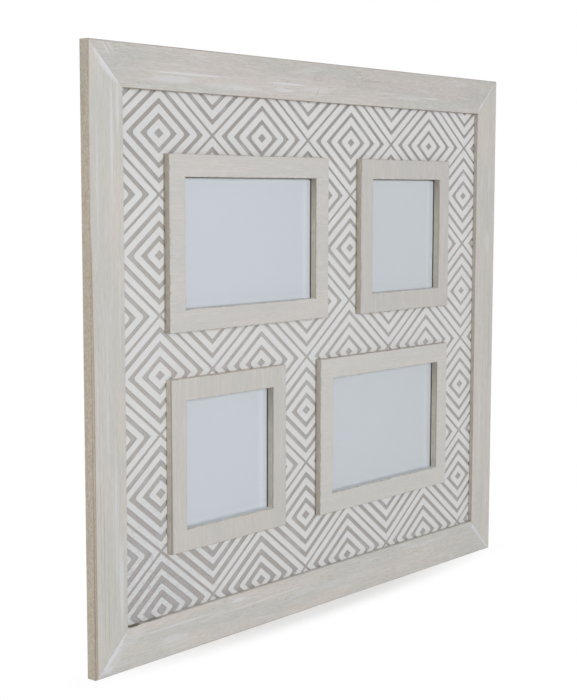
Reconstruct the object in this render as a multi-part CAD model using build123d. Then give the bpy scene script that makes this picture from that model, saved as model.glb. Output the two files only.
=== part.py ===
from build123d import *
import math
import os

# Collage photo frame for four prints, in millimetres. X runs along the width,
# Y from the viewer to the wall and Z up. The origin is the centre of the box.

# Outer rails, mitred at the corners and rabbeted behind for the panel
frame_width = 489.0
frame_height = 427.0
rail_face_width = 30.0
rail_thickness = 9.0
rail_arris = 0.9
lip_arris = 0.5
rabbet_width = 8.0
panel_recess = 3.75

# Panel board in the rabbet, and the raised white pattern laid on it
board_thickness = 3.0
board_edge_gap = 0.5
pattern_height = 0.7
pattern_turn = -0.25
diamond_width = 107.3
diamond_height = 83.5
first_diamond_x = -178.4
first_diamond_z = 154.1
white_band = 5.05
grey_groove = 3.05
grey_seam = 1.65
bands_per_diamond = 4
side_corner_round = 3.2
top_corner_round = 0.8
least_patch_width = 1.0

# Prints, and the surrounds that hold them
print_long = 152.4
print_short = 101.6
window_play = 1.0
surround_lip = 5.1
surround_side_lip = 4.6
surround_member = 16.0
surround_thickness = 5.0
surround_arris = 0.6
column_gap = 42.2
row_gap = 32.7
group_shift_x = -1.7
group_shift_z = 0.5

# Glass, blank insert and backing board in each window
glass_thickness = 1.5
glass_play = 0.6
insert_thickness = 0.2
insert_short_side = 0.7
insert_short_top = 0.8
insert_corner_round = 1.5
backing_play = 0.8
thumb_notch_radius = 8.0

# Turn buttons that hold the backing boards in
button_pivot_offset = 5.0
button_pivot_radius = 4.2
button_tip_radius = 2.8
button_arm = 9.0
button_thickness = 0.7
button_edge_round = 0.15
button_seat_gap = 0.05
button_hole_gap = 0.05
landscape_button_shares = (-0.28, 0.28)
square_button_shares = (0,)

# Screws of the turn buttons, from the board into the surround
button_screw_radius = 1.1
button_screw_bite = 2.4
button_screw_head_radius = 2.3
button_screw_head_height = 0.7
screw_slot_width = 0.5
screw_slot_depth_share = 0.55
screw_slot_length_share = 1.3
screw_point = 1.2

# Pins with flat heads, from the board into the surrounds and the rails
pin_radius = 0.6
pin_head_radius = 1.1
pin_head_height = 0.4
pin_point = 0.8
pin_bite = 2.4
pin_inset = 5.5
rail_pin_inset = 4.0
long_rail_pin_shares = (-0.4, 0, 0.4)
short_rail_pin_shares = (-0.36, 0.36)

# Folded nails across each mitre
nail_leg = 5.5
nail_sheet = 0.6
nail_height = 5.0
nail_set = 0.2
nail_insets = (6.0, 14.0)

# Keyhole hangers let into the side rails
hanger_length = 42.0
hanger_width = 14.0
hanger_thickness = 1.5
hanger_drop = 75.0
hanger_seat_gap = 0.15
keyhole_entry_radius = 4.5
keyhole_slot_width = 4.4
keyhole_travel = 9.0
wall_screw_room = 4.5
wall_screw_side_room = 1.0
hanger_screw_inset = 4.6
hanger_screw_radius = 1.3
hanger_screw_head_radius = 2.5
hanger_screw_length = 6.0

# Fits and cuts
fastener_gap = 0.02
nail_slot_gap = 0.05
cut_overrun = 1.0

# Places worked out from the sizes above
surround_proud = surround_thickness - panel_recess
whole_depth = surround_proud + rail_thickness
surround_front_y = -whole_depth / 2
rail_front_y = surround_front_y + surround_proud
rail_back_y = whole_depth / 2
pattern_front_y = rail_front_y + panel_recess
board_front_y = pattern_front_y + pattern_height
board_back_y = board_front_y + board_thickness
glass_back_y = pattern_front_y + glass_thickness
insert_back_y = glass_back_y + insert_thickness
rail_solid_width = rail_face_width - rabbet_width
board_width = frame_width - 2 * rail_solid_width - 2 * board_edge_gap
board_height = frame_height - 2 * rail_solid_width - 2 * board_edge_gap

window_height = print_short + window_play
landscape_window = print_long + window_play
square_window = print_short + window_play
surround_margin = surround_member - surround_lip
surround_height = window_height + 2 * surround_margin
landscape_surround = landscape_window + 2 * surround_margin
square_surround = square_window + 2 * surround_margin
group_width = landscape_surround + column_gap + square_surround
group_left = group_shift_x - group_width / 2
group_right = group_shift_x + group_width / 2
row_offset = (surround_height + row_gap) / 2
top_row_z = group_shift_z + row_offset
bottom_row_z = group_shift_z - row_offset


class Window:
    """One photo window: its name, its centre, its width and its turn buttons."""

    def __init__(self, name, x, z, width, button_shares):
        self.name = name
        self.x = x
        self.z = z
        self.width = width
        self.button_shares = button_shares

    def button_places(self):
        """Gives each button's pivot and the way it points, +1 for up and -1 for down."""
        places = []
        for way in (-1, 1):
            for share in self.button_shares:
                pivot_x = self.x + share * self.width
                pivot_z = self.z - way * (window_height / 2 + button_pivot_offset)
                places.append((pivot_x, pivot_z, way))
        return places

    def pin_places(self):
        """Gives the pins behind the four corners of the surround."""
        half_x = self.width / 2 + surround_margin - pin_inset
        half_z = surround_height / 2 - pin_inset
        places = []
        for side_x in (-1, 1):
            for side_z in (-1, 1):
                places.append((self.x + side_x * half_x, self.z + side_z * half_z))
        return places


windows = (
    Window("top_left", group_left + landscape_surround / 2, top_row_z, landscape_window, landscape_button_shares),
    Window("top_right", group_right - square_surround / 2, top_row_z, square_window, square_button_shares),
    Window("bottom_left", group_left + square_surround / 2, bottom_row_z, square_window, square_button_shares),
    Window("bottom_right", group_right - landscape_surround / 2, bottom_row_z, landscape_window,
           landscape_button_shares),
)


def slab(width, height, y_from, y_to, x=0, z=0):
    """Gives a plate square to Y between two depths, centred on x and z."""
    middle = (y_from + y_to) / 2
    return Pos(x, middle, z) * Box(width, y_to - y_from, height)


def rod(radius, y_from, y_to, x=0, z=0):
    """Gives a round bar along Y between two depths."""
    middle = (y_from + y_to) / 2
    return Pos(x, middle, z) * Rot(90, 0, 0) * Cylinder(radius, y_to - y_from)


def raised(outline, y_from, y_to):
    """Raises a flat outline, drawn as seen by the viewer, between two depths."""
    plane = Plane(origin=(0, y_to, 0), x_dir=(1, 0, 0), z_dir=(0, -1, 0))
    return extrude(plane * outline, y_to - y_from)


def turned(points):
    """Turns a half section of (radius, depth) points about the Y axis."""
    return revolve(make_face(Polyline(*points, close=True)), Axis.Y)


def long_pin_places():
    """Gives the pins that hold the board to the lips of the rails."""
    half_x = frame_width / 2 - rail_face_width + rail_pin_inset
    half_z = frame_height / 2 - rail_face_width + rail_pin_inset
    places = []
    for side in (-1, 1):
        for share in long_rail_pin_shares:
            places.append((share * board_width, side * half_z))
        for share in short_rail_pin_shares:
            places.append((side * half_x, share * board_height))
    return places


def v_nail(side_x, side_z, inset, growth, back_y):
    """Gives one folded nail across a mitre, its two legs turned towards the frame's centre."""
    apex_x = side_x * (frame_width / 2 - inset)
    apex_z = side_z * (frame_height / 2 - inset)
    front_y = rail_back_y - nail_set - nail_height - growth
    leg = nail_leg + 2 * growth
    sheet = nail_sheet + 2 * growth
    shift = (nail_leg - nail_sheet) / 2
    along_x = slab(leg, sheet, front_y, back_y, apex_x - side_x * shift, apex_z)
    along_z = slab(sheet, leg, front_y, back_y, apex_x, apex_z - side_z * shift)
    return along_x + along_z


def corner_sides():
    """Gives the four corners as pairs of sides."""
    return [(side_x, side_z) for side_x in (-1, 1) for side_z in (-1, 1)]


def make_v_nails():
    """Gives every folded nail."""
    back_y = rail_back_y - nail_set
    return [v_nail(side_x, side_z, inset, 0, back_y) for side_x, side_z in corner_sides() for inset in nail_insets]


def cut_v_nail_slots(rail):
    """Cuts the slots that the folded nails sit in, open at the back."""
    back_y = rail_back_y + cut_overrun
    for side_x, side_z in corner_sides():
        for inset in nail_insets:
            rail -= v_nail(side_x, side_z, inset, nail_slot_gap, back_y)
    return rail


def rail_section():
    """Draws a rail's section, from its outer edge inwards and from its front to its back."""
    points = (
        (0, 0),
        (rail_face_width, 0),
        (rail_face_width, panel_recess),
        (rail_solid_width, panel_recess),
        (rail_solid_width, rail_thickness),
        (0, rail_thickness),
    )
    section = make_face(Polyline(*points, close=True))
    outer = [corner for corner in section.vertices() if corner.X < rabbet_width]
    section = fillet(outer, rail_arris)
    inner = section.vertices().filter_by(lambda corner: corner.X > rail_solid_width + lip_arris)
    return fillet(inner.sort_by(Axis.Y)[0], lip_arris)


def make_rail(length, distance, angle):
    """Makes one mitred rail, its outer edge at a distance from the centre, turned about Y."""
    plane = Plane(origin=(0, rail_front_y, 0), x_dir=(0, 0, 1), z_dir=(-1, 0, 0))
    bar = extrude(plane * rail_section(), length / 2, both=True)
    half = length / 2
    inner_half = half - rail_face_width
    ends = Polygon((-half, 0), (half, 0), (inner_half, rail_face_width), (-inner_half, rail_face_width), align=None)
    bar = bar & raised(ends, rail_front_y - cut_overrun, rail_back_y + cut_overrun)
    rail = Rot(0, angle, 0) * Pos(0, 0, -distance) * bar
    for x, z in long_pin_places():
        rail -= rod(pin_radius + fastener_gap, pattern_front_y - pin_bite, rail_back_y, x, z)
    return cut_v_nail_slots(rail)


def hanger_place(side):
    """Gives the centre of a keyhole hanger on one side rail."""
    return side * (frame_width / 2 - rail_solid_width / 2), frame_height / 2 - hanger_drop


def hanger_outline(growth):
    """Draws the hanger's long rounded outline, with its length upwards."""
    return SlotOverall(hanger_length + 2 * growth, hanger_width + 2 * growth, rotation=90)


def keyhole_outline():
    """Draws the round entry and the slot that runs up from it."""
    entry = Pos(0, -keyhole_travel / 2) * Circle(keyhole_entry_radius)
    slot = SlotCenterToCenter(keyhole_travel, keyhole_slot_width, rotation=90)
    return entry + slot


def wall_screw_pocket():
    """Draws the room behind the hanger for the head of a wall screw."""
    width = 2 * (keyhole_entry_radius + wall_screw_side_room)
    return SlotCenterToCenter(keyhole_travel, width, rotation=90)


def hanger_screw_places(side):
    """Gives the two screws of a hanger."""
    x, z = hanger_place(side)
    reach = hanger_length / 2 - hanger_screw_inset
    return [(x, z - reach), (x, z + reach)]


def make_side_rail(side, angle):
    """Makes a side rail with the seat, pocket and screw holes of its hanger."""
    x, z = hanger_place(side)
    seat_y = rail_back_y - hanger_thickness
    rail = make_rail(frame_height, frame_width / 2, angle)
    rail -= Pos(x, 0, z) * raised(hanger_outline(hanger_seat_gap), seat_y, rail_back_y + cut_overrun)
    rail -= Pos(x, 0, z) * raised(wall_screw_pocket(), seat_y - wall_screw_room, rail_back_y)
    for screw_x, screw_z in hanger_screw_places(side):
        rail -= rod(hanger_screw_radius + fastener_gap, rail_back_y - hanger_screw_length, rail_back_y,
                    screw_x, screw_z)
    return rail


def make_hanger(side):
    """Makes one keyhole hanger plate."""
    x, z = hanger_place(side)
    front_y = rail_back_y - hanger_thickness
    plate = raised(hanger_outline(0), front_y, rail_back_y)
    plate -= raised(keyhole_outline(), front_y - cut_overrun, rail_back_y + cut_overrun)
    plate = Pos(x, 0, z) * plate
    for screw_x, screw_z in hanger_screw_places(side):
        plate -= Pos(screw_x, rail_back_y, screw_z) * hanger_screw_body(fastener_gap)
    return plate


def hanger_screw_body(growth):
    """Turns a countersunk screw's body, its flat head at the origin and its point towards the front."""
    sink = hanger_screw_head_radius - hanger_screw_radius
    shank_end = growth + screw_point - hanger_screw_length
    points = (
        (0, 0),
        (hanger_screw_head_radius + growth, 0),
        (hanger_screw_radius + growth, -sink),
        (hanger_screw_radius + growth, shank_end - growth),
        (0, -hanger_screw_length),
    )
    return turned(points)


def cross_slots(head_radius, head_height):
    """Gives the cross recess in a screw's head, cut from the origin towards the front."""
    length = head_radius * screw_slot_length_share
    depth = head_height * screw_slot_depth_share
    across = slab(length, screw_slot_width, -depth, cut_overrun)
    upright = slab(screw_slot_width, length, -depth, cut_overrun)
    return across + upright


def make_hanger_screws():
    """Gives the four screws of the two hangers."""
    sink = hanger_screw_head_radius - hanger_screw_radius
    screw = hanger_screw_body(0) - cross_slots(hanger_screw_head_radius, sink)
    places = hanger_screw_places(-1) + hanger_screw_places(1)
    return [Pos(x, rail_back_y, z) * screw for x, z in places]


def window_cut(window, y_from, y_to):
    """Gives the block that a window takes out of a layer."""
    return slab(window.width, window_height, y_from, y_to, window.x, window.z)


def make_panel_board():
    """Makes the board with its windows and the holes of its pins and screws."""
    board = slab(board_width, board_height, board_front_y, board_back_y)
    front_y = board_front_y - cut_overrun
    back_y = board_back_y + cut_overrun
    holes = []
    for window in windows:
        holes.append(window_cut(window, front_y, back_y))
        for x, z, way in window.button_places():
            holes.append(rod(button_screw_radius + fastener_gap, front_y, back_y, x, z))
    for x, z in all_pin_places():
        holes.append(rod(pin_radius + fastener_gap, front_y, back_y, x, z))
        holes.append(rod(pin_head_radius + fastener_gap, board_back_y - pin_head_height, back_y, x, z))
    return board - holes


def all_pin_places():
    """Gives every pin, of the surrounds and of the rails."""
    places = long_pin_places()
    for window in windows:
        places = places + window.pin_places()
    return places


def diamond(scale, side_round, top_round):
    """Draws a diamond scaled about its centre, with its side and top corners rounded."""
    half_x = scale * diamond_width / 2
    half_z = scale * diamond_height / 2
    shape = Polygon((half_x, 0), (0, half_z), (-half_x, 0), (0, -half_z), align=None)
    if side_round:
        corners = shape.vertices().sort_by(Axis.X)
        shape = fillet([corners[0], corners[-1]], side_round)
        corners = shape.vertices().sort_by(Axis.Y)
        shape = fillet([corners[0], corners[-1]], top_round)
    return shape


def white_rings():
    """Draws the white rings of one diamond, from its seam to the dot at its centre."""
    half_span = diamond_width * diamond_height / 2 / math.hypot(diamond_width, diamond_height)
    rings = []
    for count in range(bands_per_diamond):
        inset = grey_seam / 2 + count * (white_band + grey_groove)
        outer_scale = 1 - inset / half_span
        inner_scale = outer_scale - white_band / half_span
        if inner_scale > 0:
            rings.append(diamond(outer_scale, side_corner_round, top_corner_round) - diamond(inner_scale, 0, 0))
    return rings


def diamond_centres():
    """Gives the centres of the diamonds that reach the board, in two sets half a step apart, all turned a little."""
    along_x = math.cos(math.radians(pattern_turn))
    along_z = math.sin(math.radians(pattern_turn))
    centres = []
    columns = math.ceil(board_width / diamond_width) + 1
    rows = math.ceil(board_height / diamond_height) + 1
    for column in range(-2 * columns, 2 * columns + 1):
        for row in range(-2 * rows, 2 * rows + 1):
            across = first_diamond_x + column * diamond_width / 2
            up = first_diamond_z + row * diamond_height / 2
            x = across * along_x - up * along_z
            z = across * along_z + up * along_x
            near_x = abs(x) < (board_width + diamond_width) / 2
            near_z = abs(z) < (board_height + diamond_height) / 2
            if (column + row) % 2 == 0 and near_x and near_z:
                centres.append((x, z))
    return centres


def make_pattern():
    """Raises the white rings, cut by the board's edge, its windows and its fasteners.

    A patch smaller than a square of the least width is left out.
    """
    field = Rectangle(board_width, board_height)
    for window in windows:
        field -= Pos(window.x, window.z) * Rectangle(window.width, window_height)
        for x, z, way in window.button_places():
            field -= Pos(x, z) * Circle(button_screw_radius + fastener_gap)
    for x, z in all_pin_places():
        field -= Pos(x, z) * Circle(pin_radius + fastener_gap)
    rings = white_rings()
    solids = []
    for x, z in diamond_centres():
        for ring in rings:
            for face in (field & (Pos(x, z) * Rot(0, 0, pattern_turn) * ring)).faces():
                if face.area > least_patch_width ** 2:
                    solids.append(raised(face, pattern_front_y, board_front_y))
    return solids


def make_surround(window):
    """Makes one surround, with eased edges and the holes of its fasteners."""
    width = window.width + 2 * surround_margin
    surround = slab(width, surround_height, surround_front_y, pattern_front_y, window.x, window.z)
    opening_width = window.width - 2 * surround_side_lip
    opening_height = window_height - 2 * surround_lip
    surround -= slab(opening_width, opening_height, surround_front_y - cut_overrun, pattern_front_y + cut_overrun,
                     window.x, window.z)
    front = surround.faces().sort_by(Axis.Y)[0]
    upright = surround.edges().filter_by(Axis.Y)
    outer_corners = [edge for edge in upright if abs(edge.center().X - window.x) > window.width / 2]
    surround = fillet(front.edges() + outer_corners, surround_arris)
    for x, z, way in window.button_places():
        surround -= rod(button_screw_radius + fastener_gap, pattern_front_y - button_screw_bite,
                        pattern_front_y + cut_overrun, x, z)
    for x, z in window.pin_places():
        surround -= rod(pin_radius + fastener_gap, pattern_front_y - pin_bite, pattern_front_y + cut_overrun, x, z)
    return surround


def make_glass(window):
    """Makes the pane against the back of the surround's lip."""
    return slab(window.width - glass_play, window_height - glass_play, pattern_front_y, glass_back_y,
                window.x, window.z)


def make_insert(window):
    """Makes the blank sheet behind the pane.

    It lies in the lower left corner, and stops just short of the surround's opening at the top and the right.
    """
    left = window.x - (window.width - window_play) / 2
    right = window.x + window.width / 2 - surround_side_lip - insert_short_side
    low = window.z - (window_height - window_play) / 2
    high = window.z + window_height / 2 - surround_lip - insert_short_top
    outline = RectangleRounded(right - left, high - low, insert_corner_round)
    return Pos((left + right) / 2, 0, (low + high) / 2) * raised(outline, glass_back_y, insert_back_y)


def make_backing(window):
    """Makes the backing board, with a thumb notch in its left side, where the sheet covers it."""
    width = window.width - backing_play
    backing = slab(width, window_height - backing_play, insert_back_y, board_back_y, window.x, window.z)
    notch = rod(thumb_notch_radius, insert_back_y - cut_overrun, board_back_y + cut_overrun,
                window.x - width / 2, window.z)
    return backing - notch


def make_turn_button(x, z, way):
    """Makes one turn button on its pivot, pointing up or down over the backing board."""
    front_y = board_back_y + button_seat_gap
    circles = Circle(button_pivot_radius) + Pos(0, way * button_arm) * Circle(button_tip_radius)
    outline = make_hull(circles.edges())
    button = raised(outline, front_y, front_y + button_thickness)
    button = fillet(button.edges().group_by(Axis.Y)[-1], button_edge_round)
    button -= rod(button_screw_radius + button_hole_gap, front_y - cut_overrun,
                  front_y + button_thickness + cut_overrun)
    return Pos(x, 0, z) * button


def make_button_screws():
    """Gives the screws of all turn buttons, with rounded heads and a cross recess."""
    seat_y = board_back_y + button_seat_gap + button_thickness + button_seat_gap
    tip = pattern_front_y - button_screw_bite - seat_y
    points = (
        (0, button_screw_head_height),
        (button_screw_head_radius, button_screw_head_height),
        (button_screw_head_radius, 0),
        (button_screw_radius, 0),
        (button_screw_radius, tip + screw_point),
        (0, tip),
    )
    screw = turned(points)
    rim = screw.edges().filter_by(GeomType.CIRCLE).group_by(Axis.Y)[-1]
    screw = fillet(rim, button_screw_head_height / 2)
    screw -= Pos(0, button_screw_head_height, 0) * cross_slots(button_screw_head_radius, button_screw_head_height)
    screws = []
    for window in windows:
        for x, z, way in window.button_places():
            screws.append(Pos(x, seat_y, z) * screw)
    return screws


def make_pins(places):
    """Gives flat headed pins, their heads flush with the back of the board."""
    tip = pattern_front_y - pin_bite - board_back_y
    points = (
        (0, 0),
        (pin_head_radius, 0),
        (pin_head_radius, -pin_head_height),
        (pin_radius, -pin_head_height),
        (pin_radius, tip + pin_point),
        (0, tip),
    )
    pin = turned(points)
    return [Pos(x, board_back_y, z) * pin for x, z in places]


def surround_pin_places():
    """Gives the pins of all surrounds."""
    places = []
    for window in windows:
        places = places + window.pin_places()
    return places


def save(name, shape):
    """Writes one sub-part, or a group of like solids, under its name."""
    if isinstance(shape, list):
        solids = [solid for piece in shape for solid in piece.solids()]
        shape = Compound(solids)
    export_step(shape, os.path.join("parts", name + ".step"))


def main():
    """Makes and writes every sub-part."""
    os.makedirs("parts", exist_ok=True)
    save("bottom_rail", make_rail(frame_width, frame_height / 2, 0))
    save("top_rail", make_rail(frame_width, frame_height / 2, 180))
    save("left_rail", make_side_rail(-1, 90))
    save("right_rail", make_side_rail(1, 270))
    save("mitre_nails", make_v_nails())
    save("panel_board", make_panel_board())
    save("white_pattern", make_pattern())
    for window in windows:
        save("surround_" + window.name, make_surround(window))
        save("glass_" + window.name, make_glass(window))
        save("insert_" + window.name, make_insert(window))
        save("backing_" + window.name, make_backing(window))
        for count, (x, z, way) in enumerate(window.button_places(), start=1):
            save("turn_button_" + window.name + "_" + str(count), make_turn_button(x, z, way))
    save("button_screws", make_button_screws())
    save("surround_pins", make_pins(surround_pin_places()))
    save("rail_pins", make_pins(long_pin_places()))
    save("keyhole_hanger_left", make_hanger(-1))
    save("keyhole_hanger_right", make_hanger(1))
    save("hanger_screws", make_hanger_screws())


main()
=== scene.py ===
"""The looks of a collage photo frame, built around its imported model, in metres."""
import math

import bmesh
import bpy
from bpy.props import FloatProperty, FloatVectorProperty, IntProperty, PointerProperty
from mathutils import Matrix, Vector


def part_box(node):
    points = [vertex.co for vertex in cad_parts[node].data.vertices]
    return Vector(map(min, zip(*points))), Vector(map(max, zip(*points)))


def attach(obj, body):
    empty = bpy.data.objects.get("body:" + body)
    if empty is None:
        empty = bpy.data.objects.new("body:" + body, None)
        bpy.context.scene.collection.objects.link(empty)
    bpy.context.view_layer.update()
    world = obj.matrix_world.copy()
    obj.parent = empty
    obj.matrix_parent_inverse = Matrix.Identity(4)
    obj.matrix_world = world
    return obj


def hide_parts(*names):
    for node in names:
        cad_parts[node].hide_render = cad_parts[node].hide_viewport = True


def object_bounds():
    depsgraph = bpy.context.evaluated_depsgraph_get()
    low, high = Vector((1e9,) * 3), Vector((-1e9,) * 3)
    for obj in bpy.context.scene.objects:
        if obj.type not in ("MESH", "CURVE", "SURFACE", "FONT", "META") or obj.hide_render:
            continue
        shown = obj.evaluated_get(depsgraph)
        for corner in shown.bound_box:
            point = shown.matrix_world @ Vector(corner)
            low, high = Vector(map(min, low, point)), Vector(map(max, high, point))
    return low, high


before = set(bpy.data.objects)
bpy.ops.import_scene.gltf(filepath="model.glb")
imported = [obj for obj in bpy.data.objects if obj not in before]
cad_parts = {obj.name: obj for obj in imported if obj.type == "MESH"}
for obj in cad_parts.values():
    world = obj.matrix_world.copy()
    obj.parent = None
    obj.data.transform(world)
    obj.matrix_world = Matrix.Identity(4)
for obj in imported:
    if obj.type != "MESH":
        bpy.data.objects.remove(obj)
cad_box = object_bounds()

bl_info = {
    "name": "Collage photo frame",
    "version": (1, 0, 0),
    "blender": (4, 5, 0),
    "location": "3D View > Sidebar > Photo frame",
    "description": "Makes the looks of a collage photo frame with a diamond pattern",
    "category": "Add Mesh",
}

MM = 0.001
WINDOWS = ("top_left", "top_right", "bottom_left", "bottom_right")
RAILS = {"top_rail": "X", "bottom_rail": "X", "left_rail": "Z", "right_rail": "Z"}
SURROUNDS = {"top_left": "X", "top_right": "Z", "bottom_left": "Z", "bottom_right": "X"}

# Widths in millimetres of a rail's face and of a surround's members above and beside its opening
RAIL_FACE = 30.0
SURROUND_MEMBER = 16.0
SIDE_MEMBER = 15.5


def box_in_mm(node):
    """Gives a node's low and high corners in millimetres."""
    low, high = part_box(node)
    return low / MM, high / MM


def colour(red, green, blue):
    """Turns a screen colour of 0 to 255 into the linear one that shaders use."""
    return tuple(((value / 255 + 0.055) / 1.055) ** 2.4 for value in (red, green, blue)) + (1.0,)


# Sizes and colours that a user would change

def length(name, description, default):
    """Gives a length property, with its default in millimetres."""
    return FloatProperty(name=name, description=description, default=default * MM, unit="LENGTH", precision=5)


def tint(name, description, red, green, blue):
    """Gives a colour property."""
    return FloatVectorProperty(name=name, description=description, default=colour(red, green, blue), size=4,
                               subtype="COLOR", min=0.0, max=1.0)


class PatternSettings(bpy.types.PropertyGroup):
    """The raised white diamonds."""
    diamond_width: length("Diamond width", "Width of one diamond", 107.3)
    diamond_height: length("Diamond height", "Height of one diamond", 83.5)
    first_x: length("First diamond X", "Place of a diamond's centre across the unturned pattern", -178.4)
    first_z: length("First diamond Z", "Place of a diamond's centre up the unturned pattern", 154.1)
    turn: FloatProperty(name="Turn", description="How far the whole pattern is turned on the panel",
                        default=math.radians(-0.25), unit="ROTATION")
    bow: length("Bow", "How far the print is pulled to the right at its sides and corners", 0.9)
    band: length("White band", "Width of a white band", 5.05)
    groove: length("Grey groove", "Width of the grey between two bands", 3.05)
    seam: length("Grey seam", "Width of the grey between two diamonds", 1.65)
    side_round: length("Side corner round", "Radius of a band's outer corners at the sides", 2.1)
    outer_round: length("Outermost side round", "The same radius on the outermost band", 1.0)
    top_round: length("Top corner round", "Radius of a band's outer corners at top and bottom", 0.8)
    shoulder: length("Shoulder", "Rounding along a band's upper edges", 0.18)
    thin_edge: length("Thin edge", "Width of the strip along a band's edges where the coat is thin", 0.34)
    spacing: length("Point spacing", "Distance between the points along an edge", 1.5)
    unevenness: length("Unevenness", "How far an edge wanders from its line", 0.22)
    starved: length("Starved corner", "How much the bands' edges draw in at the bottom left", 0.4)
    full: length("Full coat", "How far the bands' edges reach out in the middle of the panel", 0.13)
    full_row: length("Full middle row", "How much further between the upper and lower windows", 0.18)
    full_right: length("Full to the right", "How much further one panel width to the right", 0.34)
    full_top: length("Full to the top", "How much further one panel width up", 0.36)
    bands: IntProperty(name="Bands", description="White bands in one diamond", default=4, min=1, max=8)
    seed: IntProperty(name="Seed", description="Changes the unevenness", default=7)
    white: tint("White", "Colour of the raised coat", 220, 220, 220)


class WoodSettings(bpy.types.PropertyGroup):
    """The washed wood and the painted board."""
    rail: tint("Rails", "Washed wood of the rails", 203, 199, 193)
    # The sides' colour is painted lighter, making up for the shade that falls on the sides
    rail_side: tint("Rails' sides", "Bare brown sides of the rails", 216, 205, 189)
    rail_back: tint("Rails' backs", "Bare wood behind", 204, 186, 158)
    surround: tint("Surrounds", "Washed wood of the surrounds", 205, 201, 195)
    wash: tint("Wash", "White paint smeared along the mitres", 221, 223, 228)
    board: tint("Board", "Warm grey paint between the bands", 176, 172, 169)
    hardboard: tint("Backing boards", "Brown hardboard behind the windows", 134, 104, 76)


class WindowSettings(bpy.types.PropertyGroup):
    """The panes and the blank sheets."""
    sheet: tint("Sheet", "Blank sheet behind the glass", 202, 206, 213)
    pane_arris: length("Pane arris", "Ground edge of a pane", 0.2)


class StageSettings(bpy.types.PropertyGroup):
    """The floor, the lamps and the camera."""
    floor: tint("Floor", "Colour of the floor", 250, 250, 250)
    world: FloatProperty(name="World light", description="Strength of the even light from all sides",
                         default=0.40)
    key: FloatProperty(name="Key light", description="Power of the large soft lamp at the front left",
                       default=35.0, unit="POWER")
    behind: FloatProperty(name="Light behind", description="Power of the soft lamp that lights the back",
                          default=30.0, unit="POWER")
    lens: FloatProperty(name="Lens", description="Focal length on a 36 mm sensor", default=75.05,
                        unit="CAMERA")
    camera_place: FloatVectorProperty(name="Camera place", description="Where the camera stands",
                                      default=(-0.89019, -0.71899, 0.1162), subtype="TRANSLATION",
                                      unit="LENGTH")
    camera_turn: FloatVectorProperty(name="Camera turn", description="How the camera is turned",
                                     default=(1.46179611, -0.00198813, -0.86878243), subtype="EULER",
                                     unit="ROTATION")


class FrameSettings(bpy.types.PropertyGroup):
    """All settings of the photo frame."""
    pattern: PointerProperty(type=PatternSettings)
    wood: PointerProperty(type=WoodSettings)
    window: PointerProperty(type=WindowSettings)
    stage: PointerProperty(type=StageSettings)


def settings():
    """Gives the scene's settings for the photo frame."""
    return bpy.context.scene.photo_frame


# Node trees

class Field:
    """A node's output, with the sums that nodes do on its number."""

    def __init__(self, tree, socket):
        self.tree = tree
        self.socket = socket

    def __add__(self, other):
        return self.tree.math("ADD", self, other)

    def __radd__(self, other):
        return self.tree.math("ADD", other, self)

    def __sub__(self, other):
        return self.tree.math("SUBTRACT", self, other)

    def __rsub__(self, other):
        return self.tree.math("SUBTRACT", other, self)

    def __mul__(self, other):
        return self.tree.math("MULTIPLY", self, other)

    def __truediv__(self, other):
        return self.tree.math("DIVIDE", self, other)

    def __mod__(self, other):
        return self.tree.math("MODULO", self, other)

    def __gt__(self, other):
        return self.tree.math("GREATER_THAN", self, other)

    def __abs__(self):
        return self.tree.math("ABSOLUTE", self)


class Outputs:
    """A node's outputs by name."""

    def __init__(self, tree, node):
        self.tree = tree
        self.node = node

    def __getitem__(self, name):
        return Field(self.tree, self.node.outputs[name])


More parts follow.
